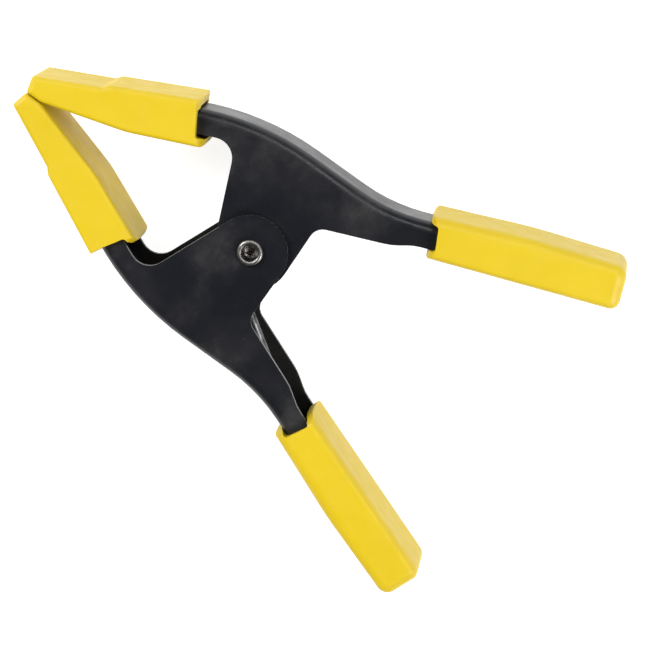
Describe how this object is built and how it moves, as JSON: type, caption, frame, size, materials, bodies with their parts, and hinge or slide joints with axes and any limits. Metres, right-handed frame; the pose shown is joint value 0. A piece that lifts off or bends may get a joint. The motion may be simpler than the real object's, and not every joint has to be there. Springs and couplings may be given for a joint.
{
  "type": "spring clamp",
  "caption": "Two nested black steel channel arms riveted together with a torsion spring, with soft yellow sleeves on the jaws and handles.",
  "frame": {"origin": "centre of the bounding box at its base, with the clamp lying on its side", "axes": "+X from the jaws toward the handles, +Y from the lower (outer) arm to the upper (inner) arm, +Z along the rivet toward its drilled end"},
  "size_m": [0.1657, 0.113, 0.0254],
  "materials": {
    "black_paint": "semi-gloss black paint on stamped sheet steel",
    "plated_steel": "dull plated steel",
    "spring_steel": "dark oiled spring wire",
    "yellow_vinyl": "smooth soft vinyl"
  },
  "bodies": {
    "lower": {"lower_arm": "black_paint", "pivot_rivet": "plated_steel", "torsion_spring": "spring_steel", "lower_jaw_cover": "yellow_vinyl", "lower_handle_grip": "yellow_vinyl"},
    "upper": {"upper_arm": "black_paint", "upper_jaw_cover": "yellow_vinyl", "upper_handle_grip": "yellow_vinyl"}
  },
  "joints": [
    {"name": "arm_pivot", "type": "hinge", "parent": "lower", "child": "upper", "pos_m": [-0.0067, 0, 0.0127], "axis": [0, 0, -1], "range_deg": [0, 50], "stiffness_Nm_per_rad": 2.7, "springref_deg": -57.3, "deforming": ["torsion_spring"]}
  ]
}
